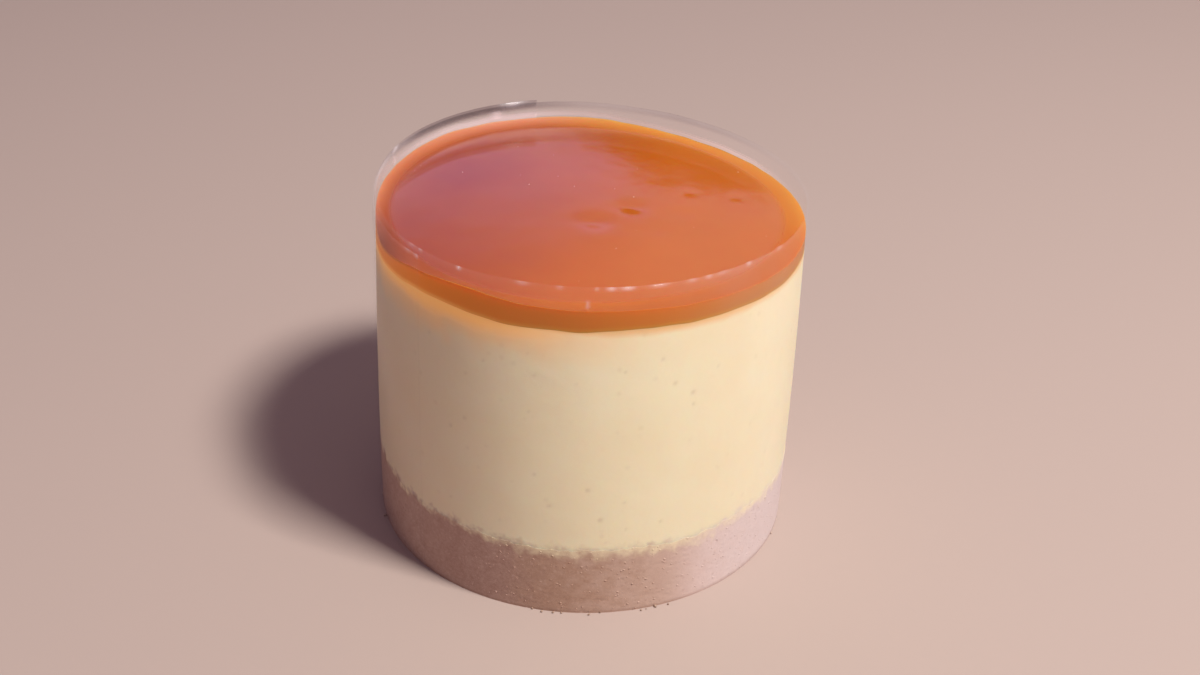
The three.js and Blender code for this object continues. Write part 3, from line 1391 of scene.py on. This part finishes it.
@dataclass(frozen=True)
class Scatter:
    """Small grains strewn over the marked part of a surface by Geometry Nodes."""

    density: float
    smallest: float
    largest: float
    seed: int

    def sizes(self) -> dict[str, float]:
        """The density and sizes, by the names of the tree's inputs."""
        return {"Density": self.density, "Smallest": self.smallest, "Largest": self.largest}

    def tree(self, name: str, material: bpy.types.Material) -> bpy.types.NodeTree:
        """Builds the tree.

        Args:
            name: the tree's name.
            material: what every grain is made of.

        Returns:
            The tree. It needs the attribute "strewn" on the surface, 1 where the grains go.
        """
        inputs = {"Surface": (Interface.GEOMETRY, None)}
        inputs |= {label: (Interface.NUMBER, size) for label, size in self.sizes().items()}
        maker, start, end = group(name, "GeometryNodeTree", inputs, {"Geometry": Interface.GEOMETRY})
        wanted = maker.field("GeometryNodeInputNamedAttribute", "Attribute", Name="strewn")
        points = maker.node(
            "GeometryNodeDistributePointsOnFaces",
            Mesh=start.outputs["Surface"],
            Density=Field(maker.tree, start.outputs["Density"]) * wanted,
            Seed=self.seed,
        )
        grain = maker.node("GeometryNodeMeshIcoSphere", Radius=1.0, Subdivisions=1)
        turned = self.random(maker, "FLOAT_VECTOR", (0.0, 0.0, 0.0), (6.28, 6.28, 6.28), 1)
        size = self.random(maker, "FLOAT", start.outputs["Smallest"], start.outputs["Largest"], 2)
        shape = self.random(maker, "FLOAT_VECTOR", (0.65, 0.65, 0.65), (1.15, 1.15, 1.15), 3)
        scale = maker.node("ShaderNodeVectorMath", {"operation": "SCALE"})
        plug(maker.tree, scale.inputs[0], shape)
        plug(maker.tree, scale.inputs["Scale"], size)
        placed = maker.node(
            "GeometryNodeInstanceOnPoints",
            Points=points.outputs["Points"],
            Instance=grain.outputs["Mesh"],
            Rotation=turned,
            Scale=scale.outputs[0],
        )
        toned = maker.node(
            "GeometryNodeStoreNamedAttribute",
            {"domain": "INSTANCE", "data_type": "FLOAT"},
            Geometry=placed.outputs[0],
            Name="tone",
            Value=self.random(maker, "FLOAT", 0.0, 1.0, 4),
        )
        real = maker.node("GeometryNodeRealizeInstances", Geometry=toned.outputs[0])
        smooth = maker.node("GeometryNodeSetShadeSmooth", Geometry=real.outputs[0])
        dressed = maker.node("GeometryNodeSetMaterial", Geometry=smooth.outputs[0], Material=material)
        maker.tree.links.new(dressed.outputs[0], end.inputs["Geometry"])
        return maker.tree

    def random(self, maker: TreeMaker, kind: str, low: Any, high: Any, step: int) -> bpy.types.NodeSocket:
        """Draws a random number or vector for each grain.

        Args:
            maker: the tree's maker.
            kind: FLOAT or FLOAT_VECTOR.
            low: the least value.
            high: the greatest value.
            step: a different step gives other draws.

        Returns:
            The output socket.
        """
        node = maker.node("FunctionNodeRandomValue", {"data_type": kind}, Seed=self.seed + step)
        shown = [s for s in node.inputs if s.enabled and s.name in ("Min", "Max")]
        for socket, value in zip(shown, (low, high)):
            plug(maker.tree, socket, value)
        return next(s for s in node.outputs if s.enabled)


def mark(mesh: bpy.types.Mesh, name: str, values: np.ndarray) -> None:
    """Stores one number for each vertex."""
    kept = mesh.attributes.get(name) or mesh.attributes.new(name, "FLOAT", "POINT")
    kept.data.foreach_set("value", values.astype(np.float32))


@dataclass(frozen=True)
class BiscuitBase:
    """The pressed crumb base: its body, the grains that show in its side and loose crumbs at its foot."""

    relief: float = 0.07 * MM
    into_film: float = 0.1 * MM
    crumbs_reach: float = 0.65 * MM
    crumbs_lift: float = 0.16 * MM
    heaps: tuple[Bell, ...] = (Bell(287, 4, 5.0), Bell(276, 1.5, 4.0), Bell(298, 6, 2.0), Bell(262, 7, 3.0))
    body: TurnedLayer = TurnedLayer(720, 56, even_rings(6), even_rings(24, 2.0))

    def build(self, form: CakeForm, palette: Palette) -> list[bpy.types.Object]:
        """Makes the pieces.

        Args:
            form: the cake.
            palette: the shared effects.

        Returns:
            The body, its grains and the loose crumbs, round the cake's own axis.
        """
        mesh = self.body.build(
            "biscuit_base_body",
            lambda angle, share: np.zeros_like(angle * share),
            form.base_top,
            lambda angle, height: form.film_radius(angle, height) + self.into_film,
        )
        points = mesh_points(mesh)
        side = np.array([d.value for d in mesh.attributes["side"].data])
        sunk = np.abs(rough(points, 1.1 * MM, 3)) * 0.9 + np.clip(rough(points, 3.2 * MM), 0, 1) * 0.5
        reach = np.maximum(np.hypot(points[:, 0], points[:, 1]), 1e-6)
        angle = np.arctan2(points[:, 1], points[:, 0])
        depth = (form.base_top(angle, np.ones(len(points))) - points[:, 2]) / MM
        sunk *= np.clip(depth / 1.5, 0, 1)
        points[:, :2] *= (1 - side * sunk * self.relief / reach)[:, None]
        move_points(mesh, points)
        mark(mesh, "strewn", side * (points[:, 2] > 0.4 * MM) * (points[:, 2] < form.base_height))
        mark(mesh, "height", -depth)
        body = new_object("biscuit_base_body", mesh, [BiscuitFinish().build(palette)])
        return [body, self.grains(body, form, palette), self.crumbs(form, palette)]

    def grains(self, body: bpy.types.Object, form: CakeForm, palette: Palette) -> bpy.types.Object:
        """Strews grains in the side and presses them flat against the film.

        Args:
            body: the base's body.
            form: the cake.
            palette: the shared effects.

        Returns:
            The grains.
        """
        finish = BiscuitFinish("biscuit_grain", painted_sheen_share=0.8, toned=0.35).build(palette)
        scatter = Scatter(0.3e6, 0.1 * MM, 0.3 * MM, 11)
        grains = grown("biscuit_grains", body, scatter.tree("pressed_grains", finish), scatter.sizes())
        points = mesh_points(grains.data)
        angle = np.arctan2(points[:, 1], points[:, 0])
        reach = np.hypot(points[:, 0], points[:, 1])
        most = form.film_radius(angle, points[:, 2]) + self.into_film
        points[:, :2] *= (np.minimum(reach, most) / reach)[:, None]
        points[:, 2] = np.maximum(points[:, 2], 0.02 * MM)
        move_points(grains.data, points)
        line = form.base_top(angle, np.ones_like(angle))
        mark(grains.data, "height", (points[:, 2] - line) / MM)
        return grains

    def crumbs(self, form: CakeForm, palette: Palette) -> bpy.types.Object:
        """Strews loose crumbs on the ground round the foot.

        Args:
            form: the cake.
            palette: the shared effects.

        Returns:
            The crumbs.
        """
        finish = BiscuitFinish(
            "loose_crumb",
            dark=(0.2, 0.115, 0.085),
            light=(0.8, 0.62, 0.5),
            painted_sheen_share=0.0,
            toned=0.9,
        ).build(palette)
        ring = TurnedLayer(180, 2, (0.94, 1.0), (0.94, 1.0)).build(
            "crumb_ground",
            lambda angle, share: np.zeros_like(angle * share),
            lambda angle, share: np.full_like(angle * share, 0.01 * MM),
            lambda angle, height: form.film_radius(angle, height) + self.crumbs_reach,
        )
        points = mesh_points(ring)
        angle = np.arctan2(points[:, 1], points[:, 0])
        uneven = np.clip(rough(points + 0.3, 7 * MM) * 1.6 + 0.3, 0, 1) + bells(angle, self.heaps)
        mark(ring, "strewn", uneven * (np.hypot(points[:, 0], points[:, 1]) > 30 * MM))
        ground = new_object("crumb_ground", ring, [])
        scatter = Scatter(0.08e6, 0.12 * MM, 0.34 * MM, 5)
        crumbs = grown("loose_crumbs", ground, scatter.tree("strewn_crumbs", finish), scatter.sizes())
        bpy.data.objects.remove(ground)
        points = mesh_points(crumbs.data)
        points[:, 2] = np.abs(points[:, 2] + self.crumbs_lift)
        move_points(crumbs.data, points)
        mark(crumbs.data, "height", np.full(len(points), -form.base_height / MM))
        return crumbs


@dataclass(frozen=True)
class Speck:
    """A grey speck in the cheesecake's side: its direction in degrees, height and size in millimetres."""

    towards: float
    height: float
    size: float


@dataclass(frozen=True)
class CheeseLayer:
    """The set cheesecake, pressed against the film, with small pits and specks in its side."""

    into_film: float = 0.08 * MM
    pits: int = 90
    pit_depth: float = 0.07 * MM
    seed: int = 23
    specks: tuple[Speck, ...] = (
        Speck(292.8, 45.5, 0.36),
        Speck(297.9, 43.0, 0.42),
        Speck(275.2, 20.0, 0.42),
        Speck(290.8, 18.4, 0.3),
        Speck(271.8, 26.2, 0.36),
        Speck(280.0, 48.8, 0.28),
    )
    body: TurnedLayer = TurnedLayer(640, 118, even_rings(5), even_rings(8))

    def build(self, form: CakeForm, palette: Palette) -> list[bpy.types.Object]:
        """Makes the layer.

        Args:
            form: the cake.
            palette: the shared effects.

        Returns:
            The layer, round the cake's own axis.
        """
        mesh = self.body.build(
            "cheesecake_layer",
            lambda angle, share: form.base_top(angle, share) - 0.04 * MM,
            form.cheese_top_at,
            lambda angle, height: form.film_radius(angle, height) + self.into_film,
        )
        points = mesh_points(mesh)
        side = np.array([d.value for d in mesh.attributes["side"].data])
        speck = side * self.speck_mask(points, form)
        reach = np.maximum(np.hypot(points[:, 0], points[:, 1]), 1e-6)
        soft = np.clip(rough(points, 6 * MM, 2), -1, 1) * 0.03 * MM
        points[:, :2] *= (1 - side * (speck * self.pit_depth + np.abs(soft)) / reach)[:, None]
        move_points(mesh, points)
        mark(mesh, "speck", speck)
        line = form.base_top(np.arctan2(points[:, 1], points[:, 0]), np.ones(len(points)))
        mark(mesh, "height", (points[:, 2] - line) / MM)
        return [new_object("cheesecake_layer", mesh, [CheeseFinish().build(palette)])]

    def speck_mask(self, points: np.ndarray, form: CakeForm) -> np.ndarray:
        """Places the pits and specks.

        Args:
            points: places on the layer, one row each.
            form: the cake.

        Returns:
            How much of a pit or speck each point has, from 0 to 1.
        """
        draw = np.random.default_rng(self.seed)
        angles = draw.uniform(0, 2 * math.pi, self.pits)
        heights = draw.uniform(form.base_height + 1.5 * MM, form.cheese_top - 3 * MM, self.pits)
        sizes = draw.uniform(0.12, 0.34, self.pits) * MM
        angles = np.append(angles, [math.radians(speck.towards) for speck in self.specks])
        heights = np.append(heights, [speck.height * MM for speck in self.specks])
        sizes = np.append(sizes, [speck.size * MM for speck in self.specks])
        radii = form.film_radius(angles, heights)
        centres = np.stack([radii * np.cos(angles), radii * np.sin(angles), heights], 1)
        largest = max(speck.size for speck in self.specks) * MM
        mask = np.zeros(len(points))
        for centre, size in zip(centres, sizes):
            near = np.abs(points - centre).max(1) < 4 * size
            away = np.linalg.norm(points[near] - centre, axis=1) / size
            mask[near] = np.maximum(mask[near], np.exp(-(away**2)) * (0.4 + 0.6 * size / largest))
        return mask


@dataclass(frozen=True)
class CaramelLayer:
    """The caramel: a smooth pool with its meniscus, and flecks of salt in its skin.

    thin_edge is how wide the thin golden edge is as a share of the radius, and smeared and smear_width where
    the wet skin turns matt towards the film and over which share of the radius.
    """

    into_film: float = 0.09 * MM
    swell: float = 0.011 * MM
    thin_edge: float = 0.053
    smeared: float = 0.89
    smear_width: float = 0.05
    body: TurnedLayer = TurnedLayer(540, 14, even_rings(6), even_rings(120, 1.5))

    def top(self, form: CakeForm) -> Callable[[np.ndarray, np.ndarray], np.ndarray]:
        """The caramel's top with its soft swells.

        Args:
            form: the cake.

        Returns:
            A function of the direction and the share of the radius, which gives the height.
        """

        def height(angle: np.ndarray, share: np.ndarray) -> np.ndarray:
            """The top with its swells.

            Args:
                angle: directions, in radians.
                share: shares of the radius.

            Returns:
                The height at each direction and share.
            """
            radius = share * form.film_radius(angle, form.cake_height)
            flat = np.stack([radius * np.cos(angle), radius * np.sin(angle), np.zeros_like(radius)], -1)
            places = flat.reshape(-1, 3)
            soft = rough(places, 9 * MM) + 0.35 * rough(places + 1.0, 4 * MM)
            return form.caramel_top(angle, share) + self.swell * soft.reshape(radius.shape)

        return height

    def build(self, form: CakeForm, palette: Palette) -> list[bpy.types.Object]:
        """Makes the layer and its flecks.

        Args:
            form: the cake.
            palette: the shared effects.

        Returns:
            The layer and the flecks, round the cake's own axis.
        """
        top = self.top(form)
        mesh = self.body.build(
            "caramel_layer",
            lambda angle, share: form.cheese_top_at(angle, share) - 0.05 * MM,
            top,
            lambda angle, height: form.film_radius(angle, height) + self.into_film,
        )
        points = mesh_points(mesh)
        angle = np.arctan2(points[:, 1], points[:, 0])
        share = np.hypot(points[:, 0], points[:, 1]) / form.film_radius(angle, points[:, 2])
        mark(mesh, "edge", np.exp((share - 1) / (self.thin_edge + 0.017 * np.cos(angle))))
        smeared = self.smeared + 0.02 * np.sin(angle) - 0.016 * np.cos(angle)
        mark(mesh, "rim", np.clip((share - smeared) / self.smear_width, 0, 1) ** 2)
        mark(mesh, "foot", (points[:, 2] - form.cheese_top_at(angle, np.ones_like(angle))) / MM)
        mark(mesh, "depth", (top(angle, np.ones_like(angle)) - points[:, 2]) / MM)
        inner = share < 0.96
        mark(mesh, "strewn", inner * (points[:, 2] > form.cake_height - 1.5 * MM))
        layer = new_object("caramel_layer", mesh, [CaramelFinish().build(palette)])
        scatter = Scatter(3e3, 0.05 * MM, 0.13 * MM, 31)
        finish = FleckFinish().build(palette)
        flecks = grown("salt_flecks", layer, scatter.tree("strewn_flecks", finish), scatter.sizes())
        return [layer, flecks]


# ---------------------------------------------------------------- the studio


@dataclass(frozen=True)
class Lamp:
    """A soft rectangular lamp that looks at the cake."""

    name: str
    direction: tuple[float, float, float]
    distance: float
    size: tuple[float, float]
    power: float
    colour: Colour

    def build(self, target: Vector) -> bpy.types.Object:
        """Makes the lamp.

        Args:
            target: what it looks at.

        Returns:
            The lamp.
        """
        light = bpy.data.lights.new(self.name, "AREA")
        light.shape = "RECTANGLE"
        light.size, light.size_y = self.size
        light.energy = self.power
        light.color = self.colour
        made = bpy.data.objects.new(self.name, light)
        bpy.context.scene.collection.objects.link(made)
        away = Vector(self.direction).normalized()
        made.location = target + away * self.distance
        made.rotation_euler = away.to_track_quat("Z", "Y").to_euler()
        return made


@dataclass(frozen=True)
class PhotoCamera:
    """The photograph's camera, fitted to the rim, the layer edges and the foot."""

    focal_px: float = 1557.1
    distance: float = 248.7 * MM
    height: float = 178.7 * MM
    pitch: float = math.radians(30.37)
    yaw: float = math.radians(0.67)
    roll: float = math.radians(2.04)

    def build(self, axis: Vector) -> bpy.types.Object:
        """Makes the camera.

        Args:
            axis: the cake's axis, which it stands in front of.

        Returns:
            The camera.
        """
        data = bpy.data.cameras.new("photo_camera")
        data.sensor_width = SENSOR_WIDTH_MM
        data.lens = self.focal_px * SENSOR_WIDTH_MM / PHOTO_WIDTH
        data.clip_start = 10 * MM
        made = bpy.data.objects.new("photo_camera", data)
        bpy.context.scene.collection.objects.link(made)
        level = math.cos(self.pitch)
        forward = Vector((math.sin(self.yaw) * level, math.cos(self.yaw) * level, -math.sin(self.pitch)))
        right = forward.cross(Vector((0, 0, 1))).normalized()
        up = right.cross(forward)
        turned_right = right * math.cos(self.roll) + up * math.sin(self.roll)
        turned_up = up * math.cos(self.roll) - right * math.sin(self.roll)
        turn = Matrix((turned_right, turned_up, -forward)).transposed().to_4x4()
        made.matrix_world = Matrix.Translation(axis + Vector((0, -self.distance, self.height))) @ turn
        bpy.context.scene.camera = made
        return made


@dataclass(frozen=True)
class Sky:
    """The light all round: an even glow, and beyond the cake the soft sky that its wet top mirrors.

    Directions beyond the cake are in degrees: the azimuth from +Y towards +X, and the elevation.
    """

    glow: Colour = (0.235, 0.176, 0.228)
    bright: Colour = (1.0, 0.78, 0.8)
    dark: Colour = (0.02, 0.015, 0.01)
    cool: Colour = (0.53, 0.46, 0.95)
    rosy: Colour = (0.76, 0.62, 0.98)
    faint: Colour = (0.36, 0.24, 0.4)
    warm: Colour = (0.48, 0.4, 0.48)
    veiled: Colour = (0.42, 0.33, 0.38)
    high_left: Colour = (0.2, 0.15, 0.16)
    high_right: Colour = (0.15, 0.12, 0.12)

    def build(self) -> bpy.types.World:
        """Makes the world.

        Returns:
            The world.
        """
        world = bpy.data.worlds.new("soft_sky")
        world.use_nodes = True
        maker = TreeMaker(world.node_tree)
        way = maker.field("ShaderNodeTexCoord", "Generated")
        x, y, z = coordinates(maker, way)
        azimuth = x.apply("ARCTAN2", y) * math.degrees(1)
        elevation = z.apply("ARCSINE") * math.degrees(1)
        ragged = {"noise_dimensions": "1D"}
        uneven = maker.field("ShaderNodeTexNoise", "Fac", ragged, W=azimuth, Scale=1.3, Detail=2.0)
        skyline = maker.smooth(azimuth, 0.3, 3.2, 23.3, 24.6) + (uneven - 0.5) * 0.7
        cool_end = maker.smooth(azimuth, -3.0, 5.0, 28.4, 25.8)
        later = maker.mix(maker.smooth(azimuth, 0.0, 5.0), self.faint, self.warm)
        cool = maker.mix(maker.smooth(azimuth, -8.5, -4.5), self.rosy, self.cool)
        sky = maker.mix(maker.smooth(elevation, 23.9, cool_end), cool, later)
        high = maker.mix(maker.smooth(azimuth, -1.0, 2.5), self.high_left, self.high_right)
        sky = maker.mix(maker.smooth(elevation, 34.0, 46.0), sky, high)
        below = maker.mix(maker.smooth(azimuth, -2.0, 1.4), self.bright, self.dark)
        below = maker.mix(maker.smooth(elevation, 17.5, 21.5), self.veiled, below)
        beyond = maker.mix(maker.smooth(elevation - skyline, -0.15, 0.25), below, sky)
        sector = maker.smooth(azimuth.apply("ABSOLUTE"), 25.0, 45.0, 1.0, 0.0)
        sector = sector * maker.smooth(elevation, 45.0, 70.0, 1.0, 0.0)
        plug(
            world.node_tree,
            world.node_tree.nodes["Background"].inputs["Color"],
            maker.mix(sector, self.glow, beyond),
        )
        return world


@dataclass(frozen=True)
class Studio:
    """A pale floor, a key lamp from the front right, and the soft sky."""

    floor_size: float = 4.0
    key: Lamp = Lamp("key_lamp", (0.436, -0.283, 0.857), 1.1, (0.2, 0.2), 16.2, (1.0, 0.975, 0.935))

    def build(self, palette: Palette, target: Vector) -> None:
        """Makes the floor, the world and the lamp.

        Args:
            palette: the shared effects.
            target: what the lamp looks at.
        """
        half = self.floor_size / 2
        mesh = bpy.data.meshes.new("floor")
        sheet = [(-half, -half, 0), (half, -half, 0), (half, half, 0), (-half, half, 0)]
        mesh.from_pydata(sheet, [], [(0, 1, 2, 3)])
        new_object("floor", mesh, [FloorFinish().build(palette)])
        bpy.context.scene.world = Sky().build()
        self.key.build(target)


# ---------------------------------------------------------------- putting it together


def settle(piece: bpy.types.Object, axis: Vector, node: str | None) -> None:
    """Moves a piece's mesh to the frame, says what it rides on, and hides the frame's part that it replaces.

    Args:
        piece: the piece, made round the cake's own axis.
        axis: where that axis stands in the frame.
        node: the node of the frame that it replaces, if any.
    """
    piece.data.transform(Matrix.Translation(axis))
    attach(piece, BODY)
    if node:
        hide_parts(node)
    LOG.info("%s: %d faces", piece.name, len(piece.data.polygons))


def frame_axis(strip: bpy.types.Object) -> Vector:
    """Finds the cake's axis, so that the film strip lies where the frame has it.

    Args:
        strip: the strip, round the cake's own axis.

    Returns:
        Where the axis stands on the ground.
    """
    low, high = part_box("film_collar")
    points = mesh_points(strip.data)
    own = (points.min(0) + points.max(0)) / 2
    middle = (low + high) / 2
    return Vector((middle.x - own[0], middle.y - own[1], 0.0))


def main() -> None:
    """Builds the cake, the studio and the camera."""
    logging.basicConfig(level=logging.INFO, format="%(name)s: %(message)s")
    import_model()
    form, palette = CakeForm(), Palette()
    strip = FilmCollar().build(form, palette, FilmFinish())
    axis = frame_axis(strip)
    settle(strip, axis, "film_collar")
    layers = (
        (BiscuitBase(), "biscuit_base", "biscuit"),
        (CheeseLayer(), "cheesecake", "cheesecake"),
        (CaramelLayer(), "caramel", "caramel"),
    )
    for layer, node, slot in layers:
        for place, piece in enumerate(layer.build(form, palette)):
            settle(piece, axis, node if place == 0 else None)
    Studio().build(palette, axis + Vector((0, 0, 30 * MM)))
    PhotoCamera().build(axis)
    scene = bpy.context.scene
    scene.view_settings.view_transform = "Standard"
    scene.cycles.transparent_max_bounces = 24


if __name__ == "__main__":
    main()
